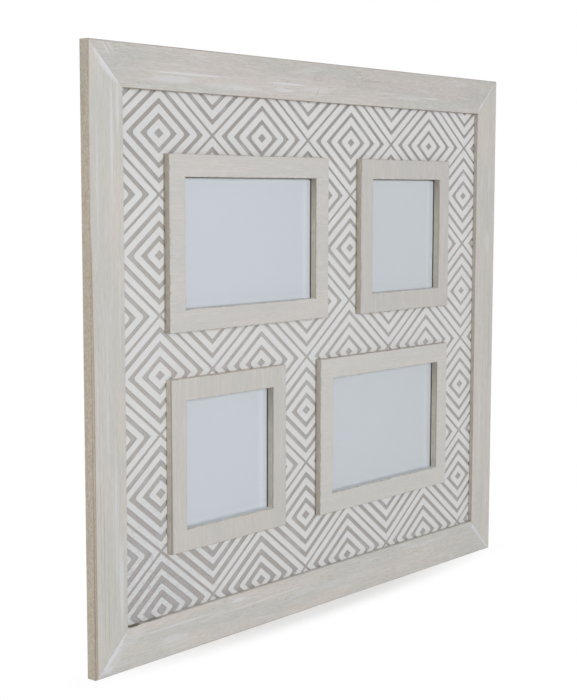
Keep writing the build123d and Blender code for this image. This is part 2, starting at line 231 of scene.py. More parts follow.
class Tree:
    """Adds nodes to a node tree and joins their sockets."""

    def __init__(self, tree):
        self.tree = tree

    def put(self, socket, value):
        """Links an output to an input, or sets the input's own value."""
        if isinstance(value, Field):
            value = value.socket
        if isinstance(value, bpy.types.NodeSocket):
            self.tree.links.new(value, socket)
        elif value is not None:
            socket.default_value = value

    def fill(self, node, **named):
        """Fills a node's inputs by name, with _ for a space."""
        for name, value in named.items():
            self.put(node.inputs[name.replace("_", " ")], value)

    def add(self, kind, *values, setup=None, **named):
        """Adds a node and fills its inputs, the first ones in order and others by name."""
        node = self.tree.nodes.new(kind)
        for name, value in (setup or {}).items():
            setattr(node, name, value)
        for socket, value in zip(node.inputs, values):
            self.put(socket, value)
        self.fill(node, **named)
        return node

    def get(self, kind, *values, out=0, **named):
        """Adds a node and gives one of its outputs."""
        return Field(self, self.add(kind, *values, **named).outputs[out])

    def math(self, operation, *values):
        """Adds a sum of numbers."""
        return self.get("ShaderNodeMath", *values, setup={"operation": operation})

    def least(self, first, second):
        """Gives the smaller number."""
        return self.math("MINIMUM", first, second)

    def most(self, first, second):
        """Gives the larger number."""
        return self.math("MAXIMUM", first, second)

    def vector(self, operation, *values):
        """Adds a sum of vectors; SCALE takes a vector and a number."""
        node = self.add("ShaderNodeVectorMath", setup={"operation": operation})
        slots = (0, 3) if operation == "SCALE" else (0, 1, 2)
        for slot, value in zip(slots, values):
            self.put(node.inputs[slot], value)
        out = "Value" if operation in ("LENGTH", "DISTANCE", "DOT_PRODUCT") else "Vector"
        return Field(self, node.outputs[out])

    def turned(self, vector, angle):
        """Turns a vector about the third axis."""
        return self.get("ShaderNodeVectorRotate", Vector=vector, Angle=angle,
                        setup={"rotation_type": "Z_AXIS"})

    def split(self, vector):
        """Splits a vector into its three numbers."""
        return [Field(self, socket) for socket in self.add("ShaderNodeSeparateXYZ", vector).outputs]

    def join(self, *numbers):
        """Joins three numbers into a vector."""
        return self.get("ShaderNodeCombineXYZ", *numbers)

    def ramp(self, value, low, high, low_out=0.0, high_out=1.0):
        """Fades smoothly from one number to another."""
        return self.get("ShaderNodeMapRange", value, low, high, low_out, high_out,
                        setup={"interpolation_type": "SMOOTHSTEP"})

    def noise(self, vector, detail=2.0, roughness=0.5, scale=1.0):
        """Adds a noise of one unit's grain."""
        return self.get("ShaderNodeTexNoise", Vector=vector, Scale=scale, Detail=detail, Roughness=roughness)

    def mix(self, share, first, second, blend="MIX"):
        """Mixes two colours."""
        node = self.add("ShaderNodeMix", setup={"data_type": "RGBA", "blend_type": blend})
        for slot, value in ((0, share), (6, first), (7, second)):
            self.put(node.inputs[slot], value)
        return Field(self, node.outputs[2])

    def around(self, noise, spread):
        """Turns a noise of 0 to 1 into a factor around 1."""
        return (noise - 0.5) * spread + 1.0

    def shaded(self, base, factor):
        """Multiplies a colour by a number."""
        grey = self.get("ShaderNodeCombineColor", factor, factor, factor)
        return self.mix(1.0, base, grey, "MULTIPLY")

    def varied(self, base, noise, spread):
        """Makes a colour lighter and darker by a noise."""
        return self.shaded(base, self.around(noise, spread))

    def group(self, name, **named):
        """Places a shared node group and gives its outputs."""
        node = self.add("ShaderNodeGroup", setup={"node_tree": shared(name)})
        self.fill(node, **named)
        return Outputs(self, node)


def new_group(name, inputs, outputs, kind="ShaderNodeTree"):
    """Makes a node group, and gives it with its tree, its inputs and its output node."""
    group = bpy.data.node_groups.new(name, kind)
    for title, socket, default in inputs:
        item = group.interface.new_socket(title, in_out="INPUT", socket_type="NodeSocket" + socket)
        if default is not None:
            item.default_value = default
    for title, socket in outputs:
        group.interface.new_socket(title, in_out="OUTPUT", socket_type="NodeSocket" + socket)
    tree = Tree(group)
    given = Outputs(tree, tree.add("NodeGroupInput"))
    result = tree.add("NodeGroupOutput")
    return group, tree, given, result


# Effects that several finishes share

def grain_group():
    """Makes brushed wood grain from a place in millimetres: along, across and through the grain."""
    group, tree, given, result = new_group(
        "Brushed grain",
        [("Place", "Vector", None), ("Length", "Float", 48.0), ("Width", "Float", 1.5)],
        [("Streaks", "Float"), ("Short streaks", "Float"), ("Fibres", "Float"), ("Strokes", "Float"),
         ("Drift", "Float"), ("Pores", "Float")])
    along, across, through = tree.split(given["Place"])
    wave = tree.noise(tree.join(along / 90.0, across / 30.0, 0.0))
    bent = across + wave * 7.0

    def stretched(long_share, wide_share, shift):
        """Gives the place divided by shares of the streaks' length and width."""
        long_size = given["Length"] * long_share
        wide_size = given["Width"] * wide_share
        return tree.join(along / long_size + shift, bent / wide_size, through / wide_size)

    dashes = tree.ramp(tree.noise(stretched(0.09, 0.34, 73.0), 1.0, 0.5), 0.63, 0.74)
    places = tree.ramp(tree.noise(stretched(0.5, 7.0, 11.0), 2.0, 0.6), 0.42, 0.62)
    tree.fill(result, Streaks=tree.noise(stretched(1.0, 1.0, 3.1), 3.0, 0.6),
              Short_streaks=tree.noise(stretched(0.16, 0.5, 29.0), 3.0, 0.6),
              Fibres=tree.noise(stretched(0.13, 0.36, 17.0), 2.0, 0.6),
              Strokes=tree.noise(stretched(0.7, 1.9, 57.0), 2.0, 0.55),
              Drift=tree.noise(stretched(1.9, 9.0, 41.0), 2.0, 0.5),
              Pores=dashes * places)
    return group


def smear_group():
    """Makes the mask of one smear of white wash, an oval that the brushed grain breaks up at its sides."""
    group, tree, given, result = new_group(
        "Wash smear",
        [("Place", "Vector", None), ("Centre", "Vector", None), ("Angle", "Float", 0.0),
         ("Length", "Float", 10.0), ("Width", "Float", 2.0), ("Strength", "Float", 1.0),
         ("Brush", "Float", 0.5)],
        [("Mask", "Float")])
    away = tree.vector("SUBTRACT", given["Place"], given["Centre"])
    along, across, _ = tree.split(tree.turned(away, given["Angle"] * -1.0))
    reach = tree.vector("LENGTH", tree.join(along / given["Length"], across / given["Width"], 0.0))
    reach = reach + (given["Brush"] - 0.5) * 2.2
    tree.fill(result, Mask=tree.ramp(reach, 1.15, 0.5) * given["Strength"])
    return group


def mottle_group():
    """Makes soft mottling and fine grit, from a place in millimetres."""
    group, tree, given, result = new_group(
        "Mottle",
        [("Place", "Vector", None), ("Size", "Float", 6.0), ("Grit size", "Float", 0.45)],
        [("Clouds", "Float"), ("Grit", "Float")])

    def sized(size):
        """Gives the place divided by a size."""
        return tree.vector("DIVIDE", given["Place"], tree.join(size, size, size))

    tree.fill(result, Clouds=tree.noise(sized(given["Size"]), 3.0, 0.55),
              Grit=tree.noise(sized(given["Grit size"]), 2.0, 0.6))
    return group


# Widths in millimetres of the dark line painted at the feet of the surrounds' left sides: painted shade, as
# dark as those sides, where the sides would reach further
FOOT_SHADE_WIDTHS = {"top_left": 1.25, "top_right": 1.5, "bottom_right": 1.35}


def foot_group():
    """Makes the mask of the painted shade line at the feet of the surrounds' left sides."""
    group, tree, given, result = new_group("Foot shade line", [("Place", "Vector", None)], [("Mask", "Float")])
    x, _, z = tree.split(given["Place"])
    rough = tree.noise(given["Place"], 2.0, 0.5, 0.4) * 0.3
    mask = 0.0
    for window, width in FOOT_SHADE_WIDTHS.items():
        low, high = box_in_mm("surround_" + window)
        away = low.x + 0.15 - (x + rough)
        near = tree.ramp(away, width + 0.1, width - 0.1) * tree.ramp(away, -1.0, -0.8)
        inside = tree.least(z - low.z, high.z - z)
        mask = tree.most(near * tree.ramp(inside, -0.1, 0.1), mask)
    tree.fill(result, Mask=mask)
    return group


GROUPS = {"grain": grain_group, "smear": smear_group, "mottle": mottle_group, "foot": foot_group}


def shared(name):
    """Gives a shared node group, made the first time that it is asked for."""
    made = bpy.data.node_groups.get(shared.names.get(name, ""))
    if made is None:
        made = GROUPS[name]()
        shared.names[name] = made.name
    return made


shared.names = {}


# Materials

def new_material(name, metallic=0.0, specular=0.5):
    """Makes a material, and gives it with its tree, its shader and the place in millimetres."""
    material = bpy.data.materials.new(name)
    material.use_nodes = True
    tree = Tree(material.node_tree)
    shader = material.node_tree.nodes["Principled BSDF"]
    tree.fill(shader, Metallic=metallic, Specular_IOR_Level=specular)
    place = tree.vector("SCALE", tree.get("ShaderNodeTexCoord", out="Object"), 1 / MM)
    return material, tree, shader, place


def finish(tree, shader, base, roughness, height, depth):
    """Feeds colour, roughness and a relief of a depth in millimetres into a material's shader."""
    bump = tree.get("ShaderNodeBump", Strength=1.0, Distance=depth * MM, Height=height)
    tree.fill(shader, Base_Color=base, Roughness=roughness, Normal=bump)


def grain_place(tree, place, along):
    """Turns a place so that its first number runs along the grain."""
    x, y, z = tree.split(place)
    return tree.join(x, z, y) if along == "X" else tree.join(z, x, y)


# Smears of wash on each rail, judged one by one: middle across and up, angle, half length, half width
# and strength, in millimetres and degrees
SMEARS = {
    "top_rail": (
        (-229, 208, -55, 7, 0.7, 0.7), (-225, 209, -40, 5, 0.6, 0.6), (-150, 196.0, 0, 45, 0.9, 0.8),
        (-168, 191.5, 0, 24, 2.6, 0.5), (-105, 189.5, 0, 34, 2.6, 0.4), (-46, 195.2, 0, 24, 0.9, 0.9),
        (-50, 190.3, 0, 14, 1.4, 0.7), (-10, 192.5, 0, 18, 2.6, 0.4), (82, 194.4, 0, 12, 0.8, 0.6),
        (110, 192.0, 0, 20, 1.5, 0.45), (140, 193.4, 0, 14, 0.7, 0.6), (221, 200.0, 80, 12, 4.0, 0.2),
        (229, 198.4, 45, 20, 1.5, 1.0), (219, 188.6, 45, 7, 2.6, 0.8)),
    "bottom_rail": (
        (-228, -198.0, 45, 20, 3.2, 1.0), (-233.5, -208.8, 10, 6, 1.6, 0.7),
        (-228, -203.5, 45, 12, 5.0, 0.35), (-211, -192, 20, 13, 4.5, 0.35), (-165, -192, 0, 45, 0.8, 0.7),
        (-101, -188.2, 0, 8, 2.0, 0.8), (-70, -194.2, 1, 50, 0.8, 0.6), (-170, -201.5, 0, 16, 3.0, 0.5),
        (30, -199.5, 0, 50, 3.0, 0.3), (140, -189.5, 0, 40, 2.0, 0.4), (221.5, -193, -46, 12, 2.6, 0.9),
        (235, -205, -45, 13, 2.0, 0.9)),
    "left_rail": (
        (-228.8, 197.8, -45, 18, 4.4, 0.9), (-234, 201, -80, 9, 1.6, 0.5), (-219.5, 172, 90, 24, 1.7, 0.6),
        (-225, 150, 90, 42, 1.4, 0.6), (-238, 120, 90, 45, 1.4, 0.3), (-225, -105, 90, 50, 3.2, 0.4),
        (-220, -150, 90, 34, 2.4, 0.6), (-231, -10, 90, 60, 1.3, 0.3), (-219, 40, 90, 40, 1.0, 0.35)),
    "right_rail": (
        (234, -204.0, -45, 13, 1.0, 0.7), (233, 70, 90, 10, 4.0, 0.4), (224, -100, 90, 50, 2.0, 0.3)),
}
# Thin dark scratches, and the painted shade of one open gap, in the same measures
MARKS = {
    "top_rail": ((-10, 191, 62, 5, 0.35, 0.4), (60, 203, 1, 30, 0.3, 0.3)),
    "bottom_rail": ((-208.5, -183.2, 0, 7, 1.3, 1.0), (-143, -205, 8, 4, 0.4, 0.3),
                    (-190, -183.4, 0, 9, 0.5, 0.6)),
    "left_rail": ((-238.6, -70, 90, 120, 0.35, 0.25), (-235.6, -130, 90, 60, 0.35, 0.25),
                  (-226, -110, 90, 70, 0.5, 0.18), (-232, -160, 90, 35, 0.4, 0.2)),
    "right_rail": ((238, 20, 90, 120, 0.3, 0.25),),
}
# How boldly each rail is streaked, how rough its brush strokes are, how pitted it is, and its tint
BRUSHES = {
    "top_rail": (0.85, 1.1, 0.5, (0.97, 0.972, 0.985, 1.0)),
    "bottom_rail": (1.0, 1.15, 0.4, (0.995, 1.0, 1.01, 1.0)),
    "left_rail": (0.85, 0.75, 0.1, (0.995, 0.995, 0.995, 1.0)),
    "right_rail": (0.8, 0.9, 0.15, (0.995, 0.992, 0.99, 1.0)),
}
# How dark each rail's inner lip is: bare brown wood, and painted shade that is deepest on the top rail's lip,
# which faces down
LIP_BROWN_AND_SHADE = {"top_rail": 1.0, "bottom_rail": 0.12, "left_rail": 0.8, "right_rail": 0.6}
# Height at which the top rail's second coat ends, in millimetres, and how far that falls to the right
SECOND_COAT = 197.2
SECOND_COAT_FALL = 0.024


def smeared(tree, base, flat, brush, smears, paint, share=1.0):
    """Lays smears of one paint on a colour, broken up by the brush."""
    for across, up, angle, half_length, half_smear, strength in smears:
        smear = tree.group("smear", Place=flat, Centre=(across, up, 0.0), Angle=math.radians(angle),
                           Length=half_length, Width=half_smear, Strength=strength * share, Brush=brush)
        base = tree.mix(smear["Mask"], base, paint)
    return base


def washed(tree, place, along, base, bold, rough, pitted, hue=1.0):
    """Gives washed and brushed wood's colour, its height and its grain."""
    grain = tree.group("grain", Place=grain_place(tree, place, along))
    cool = (1.0 - 0.05 * hue, 1.0 - 0.025 * hue, 1.0 - 0.02 * hue, 1.0)
    warm = (1.0 + 0.03 * hue, 1.0 + 0.01 * hue, 1.0 + 0.004 * hue, 1.0)
    wood = tree.mix(tree.ramp(grain["Drift"], 0.35, 0.65), tree.mix(1.0, base, cool, "MULTIPLY"),
                    tree.mix(1.0, base, warm, "MULTIPLY"))
    wood = tree.varied(wood, grain["Streaks"], 0.24 * bold)
    wood = tree.varied(wood, grain["Short streaks"], 0.3 * rough)
    wood = tree.varied(wood, grain["Fibres"], 0.34 * rough)
    brown = tree.ramp(grain["Streaks"], 0.56, 0.72) * (0.25 * bold)
    wood = tree.mix(brown, wood, colour(178, 168, 156))
    strokes = tree.ramp(grain["Strokes"], 0.54, 0.7) * (0.4 * bold)
    wood = tree.mix(strokes, wood, colour(214, 215, 217))
    pale = tree.ramp(grain["Short streaks"], 0.4, 0.26) * (0.5 * rough)
    wood = tree.mix(pale, wood, colour(216, 217, 219))
    pores = grain["Pores"] * pitted
    wood = tree.mix(pores, wood, colour(148, 138, 126))
    height = grain["Streaks"] * 0.5 + grain["Short streaks"] * 0.5 + grain["Fibres"] * 0.4 - pores
    return wood, height, grain


def rail_material(node, along):
    """Washed wood for one rail: streaks, smears near its mitres, brown sides and a bare back."""
    wood = settings().wood
    material, tree, shader, place = new_material("Washed " + node.replace("_", " "), specular=0.35)
    x, y, z = tree.split(place)
    bold, rough, pitted, toned = BRUSHES[node]
    face = tree.mix(1.0, tuple(wood.rail), toned, "MULTIPLY")
    front, height, grain = washed(tree, place, along, face, bold, rough, pitted)
    mottle = tree.group("mottle", Place=place, Size=5.0)
    flat = tree.join(x, z, 0.0)
    brush = grain["Short streaks"] * 0.6 + grain["Strokes"] * 0.4
    # Distances from the outer edge, from the mitre and from the front
    low, high = box_in_mm(node)
    outside = cad_box[1] / MM
    from_side = outside.x - abs(x)
    from_end = outside.z - abs(z)
    inward = tree.least(from_side, from_end)
    mitre = abs(from_side - from_end)
    depth = y - low.y
    if node == "top_rail":
        # The brush left a second, paler coat along the inner half
        line = SECOND_COAT - tree.most(x, 0.0) * SECOND_COAT_FALL
        under = line - z + (grain["Streaks"] - 0.5) * 4.0
        under = tree.ramp(under, -0.4, 0.5) * tree.ramp(abs(x), 215.0, 170.0)
        front = tree.shaded(front, tree.ramp(under, 0.0, 1.0, 0.958, 1.0))
    front = smeared(tree, front, flat, brush, SMEARS[node], tuple(wood.wash), 0.75)
    seam = tree.ramp(mitre, 0.4, 0.1) * tree.ramp(mottle["Clouds"], 0.35, 0.6, 0.1, 0.6)
    front = tree.mix(seam, front, colour(146, 138, 128))
    # Brown inner lips, as wide as the brush left them: bare wood, and painted shade under the lips
    lip = tree.ramp(RAIL_FACE - inward + depth * -1.4, 0.55, 0.1)
    lip = lip * tree.ramp(grain["Streaks"], 0.3, 0.6, 0.45 * LIP_BROWN_AND_SHADE[node], 0.9 * LIP_BROWN_AND_SHADE[node])
    front = tree.mix(lip, front, tree.varied(colour(160, 146, 130), mottle["Clouds"], 0.4))
    # Dark scratches, and painted shade where one gap opens
    front = smeared(tree, front, flat, brush, MARKS[node], colour(118, 106, 92))
    # Brown outer sides with spots drawn out along the rail, and a dark line behind their front edge
    drawn = tree.vector("MULTIPLY", grain_place(tree, place, along), (0.45, 1.0, 1.0))
    spots = tree.group("mottle", Place=drawn, Size=3.2, Grit_size=0.9)
    side = tree.varied(tuple(wood.rail_side), spots["Clouds"], 0.36)
    side = tree.mix(tree.ramp(spots["Clouds"], 0.50, 0.62, 0.0, 0.5), side, colour(202, 180, 152))
    side = tree.mix(tree.ramp(grain["Drift"], 0.52, 0.66, 0.0, 0.5), side, colour(196, 194, 180))
    side = tree.varied(side, spots["Grit"], 0.8)
    lower = tree.ramp(z + spots["Clouds"] * 60.0, 150.0, 60.0, 0.1, 0.3)
    ridge = tree.ramp(depth, 0.15, 0.45) * tree.ramp(depth, 1.5, 0.9) * lower
    side = tree.mix(ridge, side, colour(132, 118, 102))
    on_side = tree.ramp(inward, 0.55, 0.15) * tree.ramp(depth + spots["Clouds"] * 0.8, 0.5, 1.2)
    if node == "left_rail":
        # Lower down the front edge is worn bare, up to a dark line on the front
        bare = tree.ramp(z + grain["Drift"] * 60.0, 160.0, -20.0, 0.0, 1.5)
        from_line = inward - bare
        is_bare = tree.ramp(bare, 0.1, 0.5)
        bared = tree.ramp(from_line, 0.3, -0.3) * is_bare
        line = tree.ramp(abs(from_line), 0.7, 0.15) * is_bare
        halo = tree.ramp(from_line, 3.2, 0.5) * is_bare
        front = tree.mix(halo * 0.3, front, colour(204, 190, 178))
        # The bare strip on the front is the sides' colour darkened, a shaded copy, because the sides' colour
        # is painted lighter for their shade
        front = tree.mix(bared, front, tree.shaded(side, 0.72))
        front = tree.mix(line * 0.6, front, colour(146, 132, 116))
    base = tree.mix(on_side, front, side)
    patches = tree.ramp(grain["Drift"], 0.42, 0.62, 0.1, 0.55)
    worn = tree.ramp(inward, 1.1, 0.25) * tree.ramp(depth, 1.1, 0.3) * patches
    base = tree.mix(worn, base, colour(142, 130, 116))
    # Bare wood behind and in the rabbet
    back = tree.varied(tuple(wood.rail_back), grain["Streaks"], 0.4)
    back = tree.varied(back, grain["Fibres"], 0.3)
    thickness = high.y - low.y
    behind = tree.ramp(depth + mottle["Clouds"] * 0.6, thickness - 0.3, thickness + 0.1)
    base = tree.mix(behind, base, back)
    finish(tree, shader, base, tree.ramp(grain["Streaks"], 0.2, 0.8, 0.56, 0.74), height, 0.22)
    return material


# Tint of each surround's wash
SURROUND_TINTS = {
    "top_left": (0.985, 0.995, 1.02, 1.0), "top_right": (0.925, 0.93, 0.95, 1.0),
    "bottom_left": (0.955, 0.96, 0.968, 1.0), "bottom_right": (1.01, 1.025, 1.045, 1.0),
}
# Widths in millimetres of the worn strip on each surround's front, beside its opening's right wall
WALL_EDGES = {"top_left": 0.3, "top_right": 1.2, "bottom_left": 0.7, "bottom_right": 1.0}


def surround_material(window, along):
    """Washed wood for one surround, brushed one way, with brown sides and worn edges."""
    wood = settings().wood
    name = "Washed surround " + window.replace("_", " ")
    material, tree, shader, place = new_material(name, specular=0.35)
    x, y, z = tree.split(place)
    face = tree.mix(1.0, tuple(wood.surround), SURROUND_TINTS[window], "MULTIPLY")
    base, height, grain = washed(tree, place, along, face, 0.6, 0.6, 0.12, 0.5)
    mottle = tree.group("mottle", Place=place, Size=6.0)
    low, high = box_in_mm("surround_" + window)
    middle = (low + high) / 2
    half = (high - low) / 2
    from_side = half.x - abs(x - middle.x)
    from_end = half.z - abs(z - middle.z)
    rim = tree.least(from_side, from_end)
    depth = y - low.y
    # Sides, outer and inner, where the wash is thin over brown wood
    into_opening = tree.least(from_side - SIDE_MEMBER, from_end - SURROUND_MEMBER)
    inner = tree.ramp(into_opening, -0.4, -0.05)
    inside = tree.ramp(depth, 0.3, 0.8)
    walls = tree.most(tree.ramp(rim, 0.5, 0.1), inner) * inside
    brown = tree.varied(colour(188, 181, 169), mottle["Clouds"], 0.5)
    brown = tree.varied(brown, grain["Short streaks"], 0.5)
    if window == "bottom_left":
        brown = tree.shaded(brown, tree.ramp(z, low.z, high.z, 1.08, 1.28))
    # The opening's right wall is darker, most of all at its upper end; its lower wall is white
    right_wall = inner * (x > high.x - SURROUND_MEMBER - 8.0)
    darker = tree.ramp(z - (high.z - SURROUND_MEMBER), -36.0, -1.0, 1.0, 0.72)
    darker = darker * tree.around(mottle["Clouds"], 0.4)
    brown = tree.mix(right_wall, brown, tree.shaded(colour(198, 190, 177), darker))
    base = tree.mix(walls * 0.95, base, brown)
    low_wall = tree.ramp(z - (low.z + SURROUND_MEMBER), 0.6, 0.1) * inside * (into_opening > -0.6)
    base = tree.mix(low_wall, base, tree.varied(colour(226, 226, 224), mottle["Clouds"], 0.2))
    # Painted shade: the outer sides darken towards their feet, where they meet the board
    foot = tree.ramp(depth, 3.7, 4.9) * tree.ramp(rim, 0.5, 0.1) * 0.25
    base = tree.mix(foot, base, colour(112, 102, 90))
    on_front = tree.ramp(depth, 0.8, 0.4)
    if window == "bottom_left":
        # Its front is worn brown along the left edge, more so lower down
        worn_width = tree.ramp(z, high.z, low.z, 0.7, 1.35)
        bared = tree.ramp(x - low.x - worn_width, 0.15, -0.15) * on_front
        base = tree.mix(bared, base, tree.varied(colour(158, 152, 146), mottle["Clouds"], 0.4))
    # The front is worn brown beside the right wall too
    beside = x - (high.x - SIDE_MEMBER)
    within = half.z - SURROUND_MEMBER + 0.2 - abs(z - middle.z)
    edge_width = tree.around(mottle["Clouds"], 0.8) * WALL_EDGES[window]
    bared = tree.ramp(beside - edge_width, 0.12, -0.12) * tree.ramp(beside, -0.3, -0.2)
    bared = bared * on_front * tree.ramp(within, -0.15, 0.15)
    lighter = tree.ramp(z, low.z, high.z, 1.25, 0.9)
    base = tree.mix(bared, base, tree.shaded(colour(158, 152, 143), lighter))
    edges = tree.least(rim, into_opening * -1.0)
    patches = tree.ramp(mottle["Clouds"], 0.48, 0.62, 0.1, 0.65)
    worn = tree.ramp(edges, 0.9, 0.2) * tree.ramp(depth, 0.9, 0.2) * patches
    base = tree.mix(worn, base, colour(150, 140, 124))
    finish(tree, shader, base, tree.ramp(grain["Streaks"], 0.2, 0.8, 0.55, 0.72), height, 0.16)
    return material


def from_corner(tree, x, z):
    """Gives the distance from the board's bottom left corner."""
    low = box_in_mm("panel_board")[0]
    return tree.vector("DISTANCE", tree.join(x, 0.0, z), (low.x, 0.0, low.z))


def foot_shaded(tree, base, place):
    """Paints shade on the panel at the feet of the surrounds' left sides."""
    return tree.mix(tree.group("foot", Place=place)["Mask"], base, colour(164, 158, 150))


def board_material():
    """Warm grey paint on the front of the board, and plain fibreboard behind."""
    wood = settings().wood
    material, tree, shader, place = new_material("Grey painted board", specular=0.3)
    x, y, z = tree.split(place)
    mottle = tree.group("mottle", Place=place, Size=7.0)
    grain = tree.group("grain", Place=grain_place(tree, place, "X"), Length=18.0, Width=1.0)
    paint = tree.varied(tuple(wood.board), mottle["Clouds"], 0.16)
    paint = tree.varied(paint, grain["Streaks"], 0.2)
    far = tree.ramp(x + abs(z) * 0.8, -40.0, 160.0)
    paint = tree.mix(far, paint, tree.shaded(tuple(wood.board), 0.94))
    paint = tree.shaded(paint, tree.ramp(z, 95.0, 150.0, 1.0, 0.88))
    paint = tree.shaded(paint, tree.ramp(abs(z), 110.0, 30.0, 1.0, 1.06))
    # A veil of white where the coat spilled, and streaks of it in the bottom left corner
    clouds = tree.group("mottle", Place=place, Size=24.0)["Clouds"]
    corner = from_corner(tree, x, z)
    blots = tree.group("mottle", Place=place, Size=5.0)["Clouds"]
    spilled = tree.most(tree.ramp(grain["Short streaks"], 0.44, 0.62), tree.ramp(blots, 0.52, 0.64))
    veil = tree.most(tree.ramp(clouds, 0.5, 0.66) * 0.35, tree.ramp(corner, 120.0, 40.0) * spilled * 0.42)
    paint = tree.shaded(paint, tree.ramp(corner, 110.0, 40.0, 1.0, 0.87))
    paint = tree.mix(veil, paint, colour(196, 196, 201))
    paint = foot_shaded(tree, paint, place)
    fibre = tree.varied(colour(176, 148, 114), mottle["Clouds"], 0.14)
    fibre = tree.varied(fibre, mottle["Grit"], 0.16)
    front = box_in_mm("panel_board")[0].y
    behind = tree.ramp(y, front + 0.05, front + 0.4)
    finish(tree, shader, tree.mix(behind, paint, fibre), tree.ramp(mottle["Grit"], 0.2, 0.8, 0.62, 0.8),
           mottle["Grit"] + grain["Fibres"], 0.08)
    return material


def coat_material():
    """Thick white coat, brushed thin in the bottom left corner."""
    material, tree, shader, place = new_material("White coat", specular=0.3)
    x, _, z = tree.split(place)
    mottle = tree.group("mottle", Place=place, Size=11.0)
    grain = tree.group("grain", Place=grain_place(tree, place, "X"), Length=14.0, Width=0.8)
    base = tree.varied(tuple(settings().pattern.white), mottle["Clouds"], 0.05)
    # Painted shade: the coat is darker at the top left
    top_left_shade = tree.ramp(z, 95.0, 150.0) * tree.ramp(x, 60.0, -200.0)
    base = tree.shaded(base, tree.ramp(top_left_shade, 0.0, 1.0, 1.0, 0.955))
    corner = from_corner(tree, x, z)
    thin = tree.ramp(corner, 130.0, 30.0) * tree.ramp(grain["Streaks"], 0.4, 0.68, 0.12, 0.8)
    blots = tree.group("mottle", Place=place, Size=6.0)["Clouds"]
    gaps = tree.ramp(corner, 130.0, 40.0) * tree.ramp(blots, 0.53, 0.66)
    base = tree.mix(thin * 0.6, base, colour(178, 182, 192))
    base = tree.mix(gaps * 0.4, base, colour(176, 175, 180))
    edge = tree.get("ShaderNodeAttribute", setup={"attribute_name": "edge"}, out="Fac")
    edge = edge * tree.ramp(mottle["Grit"], 0.3, 0.7, 0.5, 0.85)
    base = tree.mix(edge, base, colour(192, 189, 186))
    finish(tree, shader, foot_shaded(tree, base, place), tree.ramp(mottle["Clouds"], 0.2, 0.8, 0.5, 0.66),
           mottle["Clouds"] + grain["Streaks"] * 0.5, 0.1)
    return material


def glass_material():
    """Clear float glass that lets the lamps' light through to the sheet behind it."""
    material, tree, shader, _ = new_material("Clear pane")
    tree.fill(shader, Base_Color=(0.985, 0.995, 0.995, 1.0), Roughness=0.02, IOR=1.5, Transmission_Weight=1.0)
    through = tree.get("ShaderNodeBsdfTransparent", (0.96, 0.97, 0.97, 1.0))
    path = Outputs(tree, tree.add("ShaderNodeLightPath"))
    passing = tree.most(path["Is Shadow Ray"], path["Is Diffuse Ray"])
    mixed = tree.get("ShaderNodeMixShader", passing, shader.outputs[0], through)
    tree.fill(material.node_tree.nodes["Material Output"], Surface=mixed)
    return material


def sheet_material(window):
    """Blank pale sheet, with the faintest tooth, and painted light: paler to the left, and paler towards its
    top, bottom and right edges, where the surrounds shade it.
    """
    material, tree, shader, place = new_material("Blank sheet " + window.replace("_", " "), specular=0.2)
    mottle = tree.group("mottle", Place=place, Size=45.0)
    x, _, z = tree.split(place)
    low, high = box_in_mm("insert_" + window)
    base = tree.varied(tuple(settings().window.sheet), mottle["Clouds"], 0.035)
    # Painted light and shade: the sheet is paler to the left and darker to the right, as the light falls
    # across the frame
    base = tree.shaded(base, tree.ramp(x, -160.0, 160.0, 1.045, 0.985))
    # Painted light: paler towards the top, bottom and right edges, making up for the shade of the surrounds
    to_end = tree.least(high.z - z, z - (low.z + 5.0))
    base = tree.shaded(base, tree.ramp(to_end, 4.5, 0.0, 1.0, 1.12))
    base = tree.shaded(base, tree.ramp(high.x - x, 12.0, 3.0, 1.0, 1.17))
    finish(tree, shader, base, tree.ramp(mottle["Grit"], 0.2, 0.8, 0.55, 0.65), mottle["Grit"], 0.02)
    return material


def hardboard_material():
    """Brown hardboard, smooth with dark flecks."""
    material, tree, shader, place = new_material("Brown hardboard", specular=0.35)
    mottle = tree.group("mottle", Place=place, Size=3.5)
    base = tree.varied(tuple(settings().wood.hardboard), mottle["Clouds"], 0.26)
    base = tree.mix(tree.ramp(mottle["Grit"], 0.60, 0.72, 0.0, 0.5), base, colour(92, 68, 48))
    # The face towards the print is painted dark, which also serves as painted shade in the gap beside each
    # sheet
    y = tree.split(place)[1]
    front = box_in_mm("backing_" + WINDOWS[0])[0].y
    base = tree.mix(tree.ramp(y, front + 0.2, front + 0.05), base, colour(84, 83, 82))
    finish(tree, shader, base, tree.ramp(mottle["Clouds"], 0.2, 0.8, 0.42, 0.6), mottle["Grit"], 0.06)
    return material


def metal_material(name, red, green, blue, low_rough, high_rough):
    """Plain plated or bright metal with fine scuffs."""
    material, tree, shader, place = new_material(name, metallic=1.0)
    mottle = tree.group("mottle", Place=place, Size=1.6)
    base = tree.varied(colour(red, green, blue), mottle["Clouds"], 0.22)
    roughness = tree.ramp(mottle["Clouds"], 0.3, 0.7, low_rough, high_rough)
    finish(tree, shader, base, roughness, mottle["Grit"], 0.03)
    return material


def dress(node, material):
    """Gives a node of the model its finish."""
    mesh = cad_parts[node].data
    mesh.materials.clear()
    mesh.materials.append(material)


# The raised pattern, grown by geometry nodes

def socket_name(setting):
    """Turns a setting's name into the name of the pattern's input."""
    return setting.replace("_", " ").capitalize()


